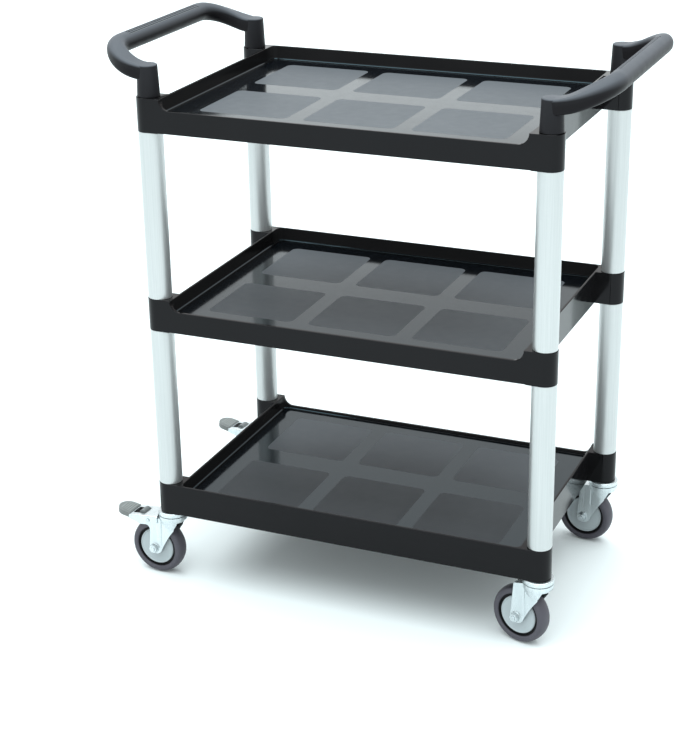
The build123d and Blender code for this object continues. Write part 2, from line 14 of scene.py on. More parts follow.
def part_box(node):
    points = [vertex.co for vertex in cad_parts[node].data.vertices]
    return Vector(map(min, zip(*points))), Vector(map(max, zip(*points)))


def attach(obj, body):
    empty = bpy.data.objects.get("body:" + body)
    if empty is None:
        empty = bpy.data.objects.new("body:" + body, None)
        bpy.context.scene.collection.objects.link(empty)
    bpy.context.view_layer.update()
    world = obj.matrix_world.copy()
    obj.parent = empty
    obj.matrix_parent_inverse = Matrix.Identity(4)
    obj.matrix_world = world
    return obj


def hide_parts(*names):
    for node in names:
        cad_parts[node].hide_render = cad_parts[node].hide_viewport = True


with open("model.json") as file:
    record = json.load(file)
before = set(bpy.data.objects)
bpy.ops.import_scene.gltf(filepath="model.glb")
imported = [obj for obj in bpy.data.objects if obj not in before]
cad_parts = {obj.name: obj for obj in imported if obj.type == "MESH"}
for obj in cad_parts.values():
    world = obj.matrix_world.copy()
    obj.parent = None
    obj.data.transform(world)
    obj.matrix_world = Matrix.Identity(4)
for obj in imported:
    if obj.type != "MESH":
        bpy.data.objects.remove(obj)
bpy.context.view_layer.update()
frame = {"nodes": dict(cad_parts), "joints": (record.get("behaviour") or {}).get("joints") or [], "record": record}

CORNERS = ("front_left", "front_right", "back_left", "back_right")
BRAKED = ("front_left", "back_left")
TRAYS = ("top_tray", "middle_tray", "bottom_tray")
TIERS = ("lower", "upper")
JOINTS = {joint["name"]: joint for joint in frame["joints"]}

MIDDLE_X = (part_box("top_tray")[0].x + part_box("top_tray")[1].x) / 2
TRAY_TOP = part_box("top_tray")[1].z
POST_X = 0.333  # from the middle to a post's axis
POST_Y = 0.194

SOLID_MERGE = 0.000005
TURNED_MERGE = 0.000001
FLAT_ANGLE = 0.5  # degrees
SHARP_ANGLE = 30
CREASE_ANGLE = 35
SECOND, THIRD = 1, 2  # places of a piece's further finishes


def caster_matrix(corner):
    """Frame of a caster: stem on Z, trailing along X, axle along Y, floor at zero."""
    stem = Vector(JOINTS[f"{corner}_swivel_turn"]["pos_m"])
    axle = Vector(JOINTS[f"{corner}_wheel_roll"]["pos_m"])
    along = Vector((axle.x - stem.x, axle.y - stem.y, 0)).normalized()
    across = Vector((-along.y, along.x, 0))
    columns = Matrix((along, across, Vector((0, 0, 1)))).transposed().to_4x4()
    return Matrix.Translation((stem.x, stem.y, 0)) @ columns


def keep(name, bm, body, finishes, nodes=(), crease=CREASE_ANGLE):
    """Make a finished bmesh a piece that rides on a body and stands for some nodes."""
    mesh = bpy.data.meshes.new(name)
    bm.to_mesh(mesh)
    bm.free()
    mesh.shade_smooth()
    mesh.set_sharp_from_angle(angle=math.radians(crease))
    for finish in finishes:
        mesh.materials.append(finish)
    piece = bpy.data.objects.new(name, mesh)
    bpy.context.scene.collection.objects.link(piece)
    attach(piece, body)
    if nodes:
        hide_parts(*nodes)
    return piece


def flat_normals(piece):
    """Keep wide flat faces flat where small rounded edges meet them."""
    weighted = piece.modifiers.new("flat_faces", "WEIGHTED_NORMAL")
    weighted.keep_sharp = True
    weighted.weight = 100


def move(bm, matrix):
    """Move a whole bmesh."""
    bmesh.ops.transform(bm, matrix=matrix, verts=bm.verts)


def everything(bm):
    """All vertices, edges and faces of a bmesh."""
    return list(bm.verts) + list(bm.edges) + list(bm.faces)


def solid_copy(node, merge=SOLID_MERGE):
    """Closed copy of a node's solid, its flat faces whole again."""
    bm = bmesh.new()
    bm.from_mesh(frame["nodes"][node].data)
    bmesh.ops.remove_doubles(bm, verts=bm.verts, dist=merge)
    bmesh.ops.dissolve_limit(
        bm,
        angle_limit=math.radians(FLAT_ANGLE),
        verts=bm.verts,
        edges=bm.edges,
        delimit={"NORMAL"},
    )
    return bm


def sharp_edges(bm):
    """Edges where faces meet at a sharp angle."""
    sharp = math.radians(SHARP_ANGLE)
    return [e for e in bm.edges if e.is_manifold and e.calc_face_angle() > sharp]


def round_over(bm, edges, width, segments=2, limit=True):
    """Round edges over, by default only as far as every one of them has room."""
    bmesh.ops.bevel(
        bm,
        geom=edges,
        offset=width,
        offset_type="OFFSET",
        segments=segments,
        profile=0.5,
        affect="EDGES",
        clamp_overlap=limit,
        material=-1,
    )


def round_corners(bm, corners, width, segments):
    """Round the corners of a flat face."""
    bmesh.ops.bevel(
        bm,
        geom=corners,
        offset=width,
        offset_type="OFFSET",
        segments=segments,
        profile=0.5,
        affect="VERTICES",
        material=-1,
    )


def eased(node, width, segments=2, limit=True):
    """Closed copy of a node's solid with its sharp edges rounded over."""
    bm = solid_copy(node)
    round_over(bm, sharp_edges(bm), width, segments, limit)
    return bm


def turned(points, centre, axis, steps, closed=True):
    """Solid turned about an axis, from a closed loop of points or a chain that ends on the axis."""
    bm = bmesh.new()
    chain = [bm.verts.new(point) for point in points]
    for first, second in zip(chain, chain[1:]):
        bm.edges.new((first, second))
    if closed:
        bm.edges.new((chain[-1], chain[0]))
    bmesh.ops.spin(
        bm,
        geom=everything(bm),
        cent=centre,
        axis=axis,
        dvec=(0, 0, 0),
        angle=math.tau,
        steps=steps,
        use_merge=True,
    )
    bmesh.ops.remove_doubles(bm, verts=bm.verts, dist=TURNED_MERGE)
    bmesh.ops.recalc_face_normals(bm, faces=bm.faces)
    return bm


def join(bm, other):
    """Take another bmesh into this one."""
    mesh = bpy.data.meshes.new("joined")
    other.to_mesh(mesh)
    other.free()
    bm.from_mesh(mesh)
    bpy.data.meshes.remove(mesh)


# Finishes

NOISE_LOW, NOISE_HIGH = 0.3, 0.7  # the range that most of a noise lies in
CLOUD_SCALE = 9.0  # cells in a metre
GLOSS_SCALE = 60.0
GRAIN_DETAIL = 2.0
STREAK_DETAIL = 4.0
PAINTED_SHEEN_FROM, PAINTED_SHEEN_FULL = 0.0, 0.7  # height of a face's normal, from where the painted sheen starts to where it is full
PLASTIC_TINT = (0.97, 0.95, 1.0)


def finish_nodes(name):
    """New material with its shader, and Object coordinates to drive patterns."""
    material = bpy.data.materials.new(name)
    material.use_nodes = True
    tree = material.node_tree
    where = tree.nodes.new("ShaderNodeTexCoord").outputs["Object"]
    return material, tree, tree.nodes["Principled BSDF"], where


def noise(tree, where, scale, detail=3.0):
    """Noise at a number of cells per metre."""
    node = tree.nodes.new("ShaderNodeTexNoise")
    node.inputs["Scale"].default_value = scale
    node.inputs["Detail"].default_value = detail
    tree.links.new(where, node.inputs["Vector"])
    return node.outputs["Fac"]


def stretched(tree, where, scale):
    """Coordinates squeezed along some axes, for drawn or brushed patterns."""
    node = tree.nodes.new("ShaderNodeMapping")
    node.inputs["Scale"].default_value = scale
    tree.links.new(where, node.inputs["Vector"])
    return node.outputs["Vector"]


def spread(tree, value, low, high, target):
    """Drive a socket between two values by a noise."""
    node = tree.nodes.new("ShaderNodeMapRange")
    node.inputs["From Min"].default_value = NOISE_LOW
    node.inputs["From Max"].default_value = NOISE_HIGH
    node.inputs["To Min"].default_value = low
    node.inputs["To Max"].default_value = high
    tree.links.new(value, node.inputs["Value"])
    tree.links.new(node.outputs["Result"], target)


def shades(tree, value, dark, light, target):
    """Drive a colour between two shades by a noise."""
    node = tree.nodes.new("ShaderNodeValToRGB")
    first, last = node.color_ramp.elements
    first.position, first.color = NOISE_LOW, (*dark, 1)
    last.position, last.color = NOISE_HIGH, (*light, 1)
    tree.links.new(value, node.inputs["Fac"])
    tree.links.new(node.outputs["Color"], target)


def grain(tree, value, depth, shader):
    """Raise the surface by a pattern, to a depth in metres."""
    node = tree.nodes.new("ShaderNodeBump")
    node.inputs["Strength"].default_value = 1.0
    node.inputs["Distance"].default_value = depth
    tree.links.new(value, node.inputs["Height"])
    tree.links.new(node.outputs["Normal"], shader.inputs["Normal"])


def moulded(name, dark, light, rough, grain_scale, grain_depth, shine=0.5, tint=PLASTIC_TINT):
    """Moulded plastic: faint cloudy colour, uneven gloss and a fine mould grain."""
    material, tree, shader, where = finish_nodes(name)
    shader.inputs["Specular IOR Level"].default_value = shine
    shader.inputs["Specular Tint"].default_value = (*tint, 1)
    cloud = noise(tree, where, CLOUD_SCALE)
    shades(tree, cloud, dark, light, shader.inputs["Base Color"])
    gloss = noise(tree, where, GLOSS_SCALE)
    spread(tree, gloss, rough[0], rough[1], shader.inputs["Roughness"])
    grain(tree, noise(tree, where, grain_scale, GRAIN_DETAIL), grain_depth, shader)
    return material


def drawn_metal(name, dark, light, rough, metallic, streaks, depth):
    """Metal with fine streaks along one direction, in cells per metre along each axis."""
    material, tree, shader, where = finish_nodes(name)
    shader.inputs["Metallic"].default_value = metallic
    lines = noise(tree, stretched(tree, where, streaks), 1.0, STREAK_DETAIL)
    shades(tree, lines, dark, light, shader.inputs["Base Color"])
    spread(tree, lines, rough[0], rough[1], shader.inputs["Roughness"])
    grain(tree, lines, depth, shader)
    return material


def paint_light_front_to_back(material, start, end, low, high):
    """Paint light and shade onto a finish: scale its colour from one factor to another, from front to back of the
    trolley.
    """
    tree = material.node_tree
    target = tree.nodes["Principled BSDF"].inputs["Base Color"]
    parts = tree.nodes.new("ShaderNodeSeparateXYZ")
    tree.links.new(tree.nodes["Texture Coordinate"].outputs["Object"], parts.inputs["Vector"])
    share = tree.nodes.new("ShaderNodeMapRange")
    share.inputs["From Min"].default_value = start
    share.inputs["From Max"].default_value = end
    share.inputs["To Min"].default_value = low
    share.inputs["To Max"].default_value = high
    tree.links.new(parts.outputs["Y"], share.inputs["Value"])
    scaled = tree.nodes.new("ShaderNodeVectorMath")
    scaled.operation = "SCALE"
    tree.links.new(target.links[0].from_socket, scaled.inputs["Vector"])
    tree.links.new(share.outputs["Result"], scaled.inputs["Scale"])
    tree.links.new(scaled.outputs["Vector"], target)


def paint_sheen_on_top(material, shade):
    """Paint a paler shade onto a finish where it faces up: a painted sheen for the overhead light on the tops."""
    tree = material.node_tree
    target = tree.nodes["Principled BSDF"].inputs["Base Color"]
    parts = tree.nodes.new("ShaderNodeSeparateXYZ")
    normal = tree.nodes.new("ShaderNodeNewGeometry").outputs["Normal"]
    tree.links.new(normal, parts.inputs["Vector"])
    share = tree.nodes.new("ShaderNodeMapRange")
    share.inputs["From Min"].default_value = PAINTED_SHEEN_FROM
    share.inputs["From Max"].default_value = PAINTED_SHEEN_FULL
    tree.links.new(parts.outputs["Z"], share.inputs["Value"])
    blend = tree.nodes.new("ShaderNodeMix")
    blend.data_type = "RGBA"
    blend.inputs["B"].default_value = (*shade, 1)
    tree.links.new(share.outputs["Result"], blend.inputs["Factor"])
    tree.links.new(target.links[0].from_socket, blend.inputs["A"])
    tree.links.new(blend.outputs["Result"], target)


tray_black = moulded(
    "tray_black",
    dark=(0.0034, 0.0032, 0.0035),
    light=(0.0046, 0.0043, 0.0047),
    rough=(0.09, 0.13),
    grain_scale=900,
    grain_depth=0.000001,
    shine=0.165,
)
inner_black = moulded(
    "inner_black",
    dark=(0.0086, 0.0080, 0.0082),
    light=(0.0104, 0.0096, 0.0099),
    rough=(0.12, 0.16),
    grain_scale=900,
    grain_depth=0.000001,
    shine=0.035,
)
# painted light: the inner back wall's colour is scaled up, for the light it catches
paint_light_front_to_back(inner_black, start=0.18, end=0.20, low=1.0, high=2.2)
floor_black = moulded(
    "floor_black",
    dark=(0.0030, 0.0040, 0.0056),
    light=(0.0042, 0.0054, 0.0072),
    rough=(0.09, 0.13),
    grain_scale=900,
    grain_depth=0.000001,
    shine=0.52,
    tint=(0.52, 0.84, 1.0),
)

# Panels carry painted shade: darker on the lower trays for the shade of the trays above, and on the middle and
# bottom trays darker at the front and lighter at the back for the light that comes from behind.
PANEL_TONES_WITH_PAINTED_SHADE = {"top_tray": 0.124, "middle_tray": 0.113, "bottom_tray": 0.080}
PANEL_PAINTED_FADES = {"top_tray": 0.0, "middle_tray": 0.26, "bottom_tray": 0.32}
PANEL_PAINTED_FADE_Y = 0.1  # from the middle to where a painted fade ends
PANEL_DARK = (0.895, 0.945, 1.035)  # times a tray's panel tone, painted shade included
PANEL_LIGHT = (0.975, 1.025, 1.115)
painted_shade_panel_finish = {
    tray: moulded(
        f"{tray}_panel",
        dark=[part * shade for part in PANEL_DARK],
        light=[part * shade for part in PANEL_LIGHT],
        rough=(0.42, 0.48),
        grain_scale=700,
        grain_depth=0.000004,
        shine=0.10,
    )
    for tray, shade in PANEL_TONES_WITH_PAINTED_SHADE.items()
}
for tray_key, fade in PANEL_PAINTED_FADES.items():
    finish = painted_shade_panel_finish[tray_key]
    paint_light_front_to_back(finish, start=-PANEL_PAINTED_FADE_Y, end=PANEL_PAINTED_FADE_Y, low=1 - fade, high=1 + fade)

handle_grey = moulded(
    "handle_grey",
    dark=(0.0070, 0.0063, 0.0072),
    light=(0.0086, 0.0078, 0.0088),
    rough=(0.42, 0.48),
    grain_scale=900,
    grain_depth=0.000006,
    shine=0.12,
)
# painted sheen: the handle's upward faces are painted paler, for the overhead light they catch
paint_sheen_on_top(handle_grey, shade=(0.108, 0.112, 0.126))
# painted highlight: pale grey that makes the flutes show as light lines
flute_painted_highlight = moulded(
    "flute_painted_highlight",
    dark=(0.15, 0.16, 0.17),
    light=(0.18, 0.19, 0.20),
    rough=(0.3, 0.4),
    grain_scale=900,
    grain_depth=0.000006,
)
insert_plastic = moulded(
    "insert_plastic",
    dark=(0.02, 0.02, 0.022),
    light=(0.03, 0.03, 0.032),
    rough=(0.45, 0.55),
    grain_scale=900,
    grain_depth=0.00001,
)
tyre_rubber = moulded(
    "tyre_rubber",
    dark=(0.069, 0.064, 0.078),
    light=(0.083, 0.077, 0.093),
    rough=(0.50, 0.62),
    grain_scale=1000,
    grain_depth=0.00002,
)
core_black = moulded(
    "core_black",
    dark=(0.008, 0.008, 0.009),
    light=(0.012, 0.012, 0.013),
    rough=(0.5, 0.6),
    grain_scale=800,
    grain_depth=0.00001,
)
# near black: the core's black plastic, painted darker still as shade in the channel round the hub discs; also the
# slot's shade sheet and the ball rings
black_rim_and_painted_shade = moulded(
    "black_rim_and_painted_shade",
    dark=(0.003, 0.003, 0.0035),
    light=(0.004, 0.004, 0.0045),
    rough=(0.5, 0.6),
    grain_scale=800,
    grain_depth=0.00001,
    shine=0.2,
)
hub_grey = moulded(
    "hub_grey",
    dark=(0.47, 0.515, 0.53),
    light=(0.53, 0.58, 0.60),
    rough=(0.34, 0.42),
    grain_scale=700,
    grain_depth=0.00001,
)
shoe_grey = moulded(
    "shoe_grey",
    dark=(0.16, 0.17, 0.17),
    light=(0.20, 0.21, 0.21),
    rough=(0.35, 0.45),
    grain_scale=800,
    grain_depth=0.00001,
)
# painted shade for the grooves between the pad's ribs
pad_groove_painted_shade = moulded(
    "pad_groove_painted_shade",
    dark=(0.18, 0.185, 0.18),
    light=(0.22, 0.225, 0.22),
    rough=(0.5, 0.6),
    grain_scale=900,
    grain_depth=0.00002,
)
pad_grey = moulded(
    "pad_grey",
    dark=(0.35, 0.36, 0.35),
    light=(0.41, 0.42, 0.41),
    rough=(0.45, 0.55),
    grain_scale=900,
    grain_depth=0.00002,
)
post_aluminium = drawn_metal(
    "post_aluminium",
    dark=(0.50, 0.517, 0.517),
    light=(0.57, 0.587, 0.587),
    rough=(0.34, 0.42),
    metallic=0.75,
    streaks=(900, 900, 6),
    depth=0.000002,
)
# painted shade: a dark zinc for the inner faces of pressings, where shade falls
zinc_painted_shade = drawn_metal(
    "zinc_painted_shade",
    dark=(0.10, 0.11, 0.11),
    light=(0.14, 0.15, 0.15),
    rough=(0.4, 0.5),
    metallic=0.6,
    streaks=(60, 60, 60),
    depth=0.000002,
)
bolt_steel = drawn_metal(
    "bolt_steel",
    dark=(0.50, 0.55, 0.56),
    light=(0.60, 0.65, 0.66),
    rough=(0.18, 0.24),
    metallic=0.9,
    streaks=(90, 90, 90),
    depth=0.000002,
)
zinc_steel = drawn_metal(
    "zinc_steel",
    dark=(0.585, 0.64, 0.66),
    light=(0.665, 0.72, 0.74),
    rough=(0.24, 0.29),
    metallic=0.9,
    streaks=(140, 140, 14),
    depth=0.000002,
)

SLOT_FINISH = {
    "tray_black": tray_black,
    "post_aluminium": post_aluminium,
    "insert_plastic": insert_plastic,
    "handle_grey": handle_grey,
    "zinc_steel": zinc_steel,
    "tyre_rubber": tyre_rubber,
    "core_plastic": core_black,
    "hub_grey": hub_grey,
    "pad_grey": pad_grey,
}


def dress_nodes():
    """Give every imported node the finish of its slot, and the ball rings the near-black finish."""
    for part in frame["record"]["subparts"]:
        node = frame["nodes"][part["node"]]
        dark_ring = part["node"].endswith("_ball_ring")
        node.data.materials.clear()
        node.data.materials.append(black_rim_and_painted_shade if dark_ring else SLOT_FINISH[part["material_slot"]])


# Trays

TRAY_MERGE = 0.00005
TRAY_DEPTH = 0.0235  # from the rim to the floor
SKIRT_LIFT = 0.003  # from the foot of a boss to the solid's skirt
SKIRT_STEP = 0.0008  # the same once the skirt is drawn down
SAME_LEVEL = 0.00002
RIM_REACH = 0.0232
RIM_ROUND = 0.0004
FOOT_REACH = 0.006
FOOT_ROUND = 0.0003
LIP_END = 0.305  # from the middle
LIP_END_ROOM = 0.004
LIP_LINE = 0.199
INNER_X, INNER_Y = 0.306, 0.211  # reach of the inner walls
WALL_LOW, WALL_HIGH = 0.0001, 0.0230  # over the floor
STRIP_LOW, STRIP_HIGH = 0.0005, 0.00175
PLATE_SEGMENTS = 8
POLISHED_SIZE = (0.598, 0.4095)
POLISHED_CORNER = 0.007
POLISHED_HEIGHT = 0.00003
PANEL_SIZE = (0.153, 0.148)
PANEL_CORNER = 0.011
PANEL_HEIGHT = 0.00008
PANEL_PITCH_X = 0.1805
PANEL_ROW_Y = 0.100  # from the middle


def on_tray_rim(spot, high):
    """Whether a point of a tray is on its rim or lip, clear of the short edges at the lip's ends."""
    by_lip_end = abs(abs(spot.x - MIDDLE_X) - LIP_END) < LIP_END_ROOM and abs(spot.y) > LIP_LINE
    return not by_lip_end and spot.z > high.z - RIM_REACH


def make_tray(node):
    """Tray with rounded rim and foot, its skirt drawn down beside the bosses.

    Its inner walls are duller than the rest, the back one painted lighter for the light it catches, apart from a
    polished strip along their foot.
    """
    bm = solid_copy(node, TRAY_MERGE)
    low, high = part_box(node)
    floor = high.z - TRAY_DEPTH
    skirt = [v for v in bm.verts if abs(v.co.z - low.z - SKIRT_LIFT) < SAME_LEVEL]
    bmesh.ops.translate(bm, verts=skirt, vec=(0, 0, SKIRT_STEP - SKIRT_LIFT))
    rim = [e for e in sharp_edges(bm) if all(on_tray_rim(v.co, high) for v in e.verts)]
    round_over(bm, rim, RIM_ROUND)
    foot = [e for e in sharp_edges(bm) if all(v.co.z < low.z + FOOT_REACH for v in e.verts)]
    round_over(bm, foot, FOOT_ROUND)
    for face in bm.faces:
        centre = face.calc_center_median()
        rise = centre.z - floor
        inside = abs(centre.x - MIDDLE_X) < INNER_X and abs(centre.y) < INNER_Y
        if inside and WALL_LOW < rise < WALL_HIGH:
            face.material_index = THIRD if STRIP_LOW < rise < STRIP_HIGH else SECOND
    finishes = [tray_black, inner_black, floor_black]
    piece = keep(f"{node}_shell", bm, "trolley", finishes, [node])
    flat_normals(piece)


def flat_plates(centres, size, corner, level, height):
    """Thin plates with rounded corners, all at one level."""
    bm = bmesh.new()
    for x, y in centres:
        spot = Matrix.Translation((x, y, level)) @ Matrix.Diagonal((*size, 1, 1))
        made = bmesh.ops.create_grid(bm, x_segments=1, y_segments=1, size=0.5, matrix=spot)
        round_corners(bm, made["verts"], corner, PLATE_SEGMENTS)
    raised = bmesh.ops.extrude_face_region(bm, geom=list(bm.faces))
    top = [v for v in raised["geom"] if isinstance(v, bmesh.types.BMVert)]
    bmesh.ops.translate(bm, verts=top, vec=(0, 0, height))
    bmesh.ops.recalc_face_normals(bm, faces=bm.faces)
    return bm


def make_tray_floor(node):
    """Polished floor of a tray, and the six dull panels on it."""
    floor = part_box(node)[1].z - TRAY_DEPTH
    middle = [(MIDDLE_X, 0)]
    polished = flat_plates(middle, POLISHED_SIZE, POLISHED_CORNER, floor, POLISHED_HEIGHT)
    keep(f"{node}_polished_floor", polished, "trolley", [floor_black])
    centres = [
        (MIDDLE_X + column * PANEL_PITCH_X, row * PANEL_ROW_Y)
        for column in (-1, 0, 1)
        for row in (-1, 1)
    ]
    panels = flat_plates(centres, PANEL_SIZE, PANEL_CORNER, floor, PANEL_HEIGHT)
    # the panels carry painted shade, darker on lower trays and towards the front
    keep(f"{node}_dull_panels", panels, "trolley", [painted_shade_panel_finish[node]])


# Posts

POST_RADIUS = 0.020
POST_WALL = 0.0015
POST_LIP = 0.0004
POST_STEPS = 96


def make_post(corner, tier):
    """Drawn tube with a fine lip at each cut end."""
    node = f"{corner}_{tier}_post"
    low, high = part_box(node)
    x, y = (low.x + high.x) / 2, (low.y + high.y) / 2
    outer, inner = POST_RADIUS, POST_RADIUS - POST_WALL
    points = [
        (x + inner, y, low.z),
        (x + outer - POST_LIP, y, low.z),
        (x + outer, y, low.z + POST_LIP),
        (x + outer, y, high.z - POST_LIP),
        (x + outer - POST_LIP, y, high.z),
        (x + inner, y, high.z),
    ]
    bm = turned(points, (x, y, 0), (0, 0, 1), POST_STEPS)
    keep(f"{node}_tube", bm, "trolley", [post_aluminium], [node])


# Wheels, with profiles of radius and distance from the wheel's middle plane

WHEEL_RADIUS = 0.050
TRAIL = 0.031
TYRE_STEPS = 96
DISC_STEPS = 72
TYRE_CREASE = 50
HUB_CREASE = 30

TYRE_PROFILE = [
    (0.0377, 0.0108),
    (0.0380, 0.0123),
    (0.0388, 0.0131),
    (0.0410, 0.0134),
    (0.0435, 0.0135),
    (0.0455, 0.0130),
    (0.0470, 0.0117),
    (0.0481, 0.0098),
    (0.0490, 0.0073),
    (0.0497, 0.0040),
    (0.0500, 0.0000),
]
RIM_PROFILE = [
    (0.0334, 0.0070),
    (0.0376, 0.0070),
    (0.0376, 0.0112),
    (0.0372, 0.0116),
    (0.0366, 0.0114),
    (0.0361, 0.0104),
    (0.0358, 0.0088),
    (0.0334, 0.0084),
]
HUB_PROFILE = [
    (0.01205, 0.0085),
    (0.0330, 0.0085),
    (0.0330, 0.0096),
    (0.0328, 0.0104),
    (0.0323, 0.0110),
    (0.0316, 0.0112),
    (0.0309, 0.0110),
    (0.0303, 0.0104),
    (0.0298, 0.0101),
    (0.0200, 0.0105),
    (0.0140, 0.0112),
    (0.01205, 0.0112),
]


def wheel_turned(profile, steps):
    """Ring turned about a wheel's axle, in its caster's frame."""
    points = [(TRAIL + r, y, WHEEL_RADIUS) for r, y in profile]
    return turned(points, (TRAIL, 0, WHEEL_RADIUS), (0, 1, 0), steps)


def paired(profile, steps, place):
    """The same ring turned about the axle on both sides of a wheel."""
    bm = bmesh.new()
    for side in (-1, 1):
        join(bm, wheel_turned([(r, side * y) for r, y in profile], steps))
    move(bm, place)
    return bm


def make_tyre(corner, place):
    """Crowned tyre with soft shoulders."""
    far_side = [(r, -y) for r, y in reversed(TYRE_PROFILE[:-1])]
    bm = wheel_turned(TYRE_PROFILE + far_side, TYRE_STEPS)
    move(bm, place)
    name, node = f"{corner}_tyre_ring", f"{corner}_tyre"
    keep(name, bm, f"{corner}_wheel", [tyre_rubber], [node], TYRE_CREASE)


def make_rims(corner, place):
    """Black rim of the wheel core, painted darker than the core as shade in the channel round each hub disc."""
    bm = paired(RIM_PROFILE, DISC_STEPS, place)
    keep(f"{corner}_rims", bm, f"{corner}_wheel", [black_rim_and_painted_shade])


def make_hub_discs(corner, place):
    """Dished discs with a raised rim, one on each side of the wheel."""
    bm = paired(HUB_PROFILE, DISC_STEPS, place)
    name, node = f"{corner}_hub_discs", f"{corner}_hub_covers"
    keep(name, bm, f"{corner}_wheel", [hub_grey], [node], HUB_CREASE)


# Forks and swivels

FORK_ROUND = 0.0004
FORK_CREASE = 25
BEND_CUTS = (0.0136, 0.0150, 0.0164)  # the bend line in the middle, and where its hollow ends
BEND_NEAR = 0.00001
BEND_TOP = 0.1065
BEND_SINK = 0.0009
CUT_MERGE = 0.000001
LEG_OUTSIDE = 0.0183
LEG_INSIDE = 0.0165
INWARD = 0.7  # least share of a normal that makes a face an inner one
CUP_ROUND = 0.0008
BOLT_ROUND = 0.0009
ROUND_SEGMENTS = 3
WASHER_STEPS = 48
WASHER_PROFILE = [
    (0.0077, 0.01851),
    (0.0090, 0.01851),
    (0.0090, 0.0188),
    (0.0087, 0.0191),
    (0.0082, 0.0191),
    (0.0077, 0.0187),
]


def paint_shade_inside(bm, inner, start=-1.0):
    """Give the inward faces of a pressing's two cheeks its second finish, painted shade for the dark between them,
    from a place along it.
    """
    for face in bm.faces:
        centre = face.calc_center_median()
        inward = face.normal.y * centre.y < -INWARD * abs(centre.y)
        if inward and centre.x > start and abs(centre.y) < inner:
            face.material_index = SECOND


def make_fork(corner, place):
    """Pressed fork with rolled edges, a bend line down each leg and painted shade on the inner faces of its legs.
    """
    node = f"{corner}_fork"
    bm = eased(node, FORK_ROUND, limit=False)
    move(bm, place.inverted())
    for x in BEND_CUTS:
        bmesh.ops.bisect_plane(
            bm, geom=everything(bm), dist=CUT_MERGE, plane_co=(x, 0, 0), plane_no=(1, 0, 0)
        )
    bend = [v for v in bm.verts if abs(v.co.x - BEND_CUTS[1]) < BEND_NEAR and v.co.z < BEND_TOP]
    for side in (-1, 1):
        line = [v for v in bend if side * v.co.y > LEG_OUTSIDE]
        bmesh.ops.translate(bm, verts=line, vec=(0, -side * BEND_SINK, 0))
    bm.normal_update()
    paint_shade_inside(bm, LEG_INSIDE)
    move(bm, place)
    finishes = [zinc_steel, zinc_painted_shade]
    name, body = f"{node}_pressing", f"{corner}_swivel"
    flat_normals(keep(name, bm, body, finishes, [node], FORK_CREASE))


def make_bearing(corner, place):
    """Turned cup under the tray, and the axle's bolt and nut in their dished washers."""
    cup, axle, swivel = f"{corner}_swivel_cup", f"{corner}_axle", f"{corner}_swivel"
    bm = eased(cup, CUP_ROUND, ROUND_SEGMENTS)
    keep(f"{cup}_turning", bm, "trolley", [zinc_steel], [cup])
    bm = eased(axle, BOLT_ROUND, ROUND_SEGMENTS)
    flat_normals(keep(f"{axle}_bolt", bm, swivel, [zinc_steel], [axle]))
    bm = paired(WASHER_PROFILE, WASHER_STEPS, place)
    keep(f"{corner}_washers", bm, swivel, [bolt_steel])


# Pedals

LEVER_TOP = 0.105
LEVER_SIDE = 0.0001
LEVER_BEND = 0.0022
LEVER_BEND_SEGMENTS = 5
LEVER_BEND_LENGTH = 0.02
LEVER_ROUND = 0.0004
LEVER_SHEET = 0.0015
LEVER_SHADE_START = 0.026
FACES_UP = 0.95
FACES_DOWN = -0.9
PAD_ROUND = 0.0003
RIB_CREST = 0.0005
# painted shade: a dark sheet under the lever's slot, where there is only shade
SLOT_SHADE_START = Vector((0.0612, 0, 0.1070))
SLOT_SHADE_END = 0.0764
SLOT_SHADE_SLOPE = 7  # degrees
SLOT_SHADE_WIDTH = 0.026
SLOT_SHADE_CORNER = 0.002
SLOT_SHADE_DROP = 0.0012
SLOT_SHADE_THICKNESS = 0.0008
SHOE_ROUND = 0.0006
PIN_ROUND = 0.0005


def make_lever(corner, place):
    """Pressed pedal lever: broad bends along the top plate, fine edges elsewhere, painted shade on its inner faces
    and under its top plate.
    """
    node = f"{corner}_brake_lever"
    bm = solid_copy(node)
    move(bm, place.inverted())
    wide = max(v.co.y for v in bm.verts)
    bends = [
        e
        for e in sharp_edges(bm)
        if e.calc_length() > LEVER_BEND_LENGTH
        and all(abs(v.co.y) > wide - LEVER_SIDE and v.co.z > LEVER_TOP for v in e.verts)
    ]
    round_over(bm, bends, LEVER_BEND, LEVER_BEND_SEGMENTS)
    round_over(bm, sharp_edges(bm), LEVER_ROUND)
    bm.normal_update()
    paint_shade_inside(bm, wide - LEVER_SHEET, LEVER_SHADE_START)
    # painted shade under the lever's top plate
    for face in bm.faces:
        if face.normal.z < FACES_DOWN and face.calc_center_median().z > LEVER_TOP:
            face.material_index = SECOND
    move(bm, place)
    finishes = [zinc_steel, zinc_painted_shade]
    flat_normals(keep(f"{node}_pressing", bm, f"{corner}_pedal", finishes, [node]))


def make_pad(corner):
    """Ribbed pad, painted darker below the crests of its ribs as shade in the grooves."""
    node = f"{corner}_brake_pad"
    bm = eased(node, PAD_ROUND, limit=False)
    bm.normal_update()
    upward = [f for f in bm.faces if f.normal.z > FACES_UP]
    lean = sum((f.normal * f.calc_area() for f in upward), Vector()).normalized()
    crest = max(f.calc_center_median().dot(lean) for f in upward)
    for face in bm.faces:
        if face.calc_center_median().dot(lean) < crest - RIB_CREST:
            face.material_index = SECOND
    finishes = [pad_grey, pad_groove_painted_shade]
    flat_normals(keep(f"{node}_piece", bm, f"{corner}_pedal", finishes, [node]))


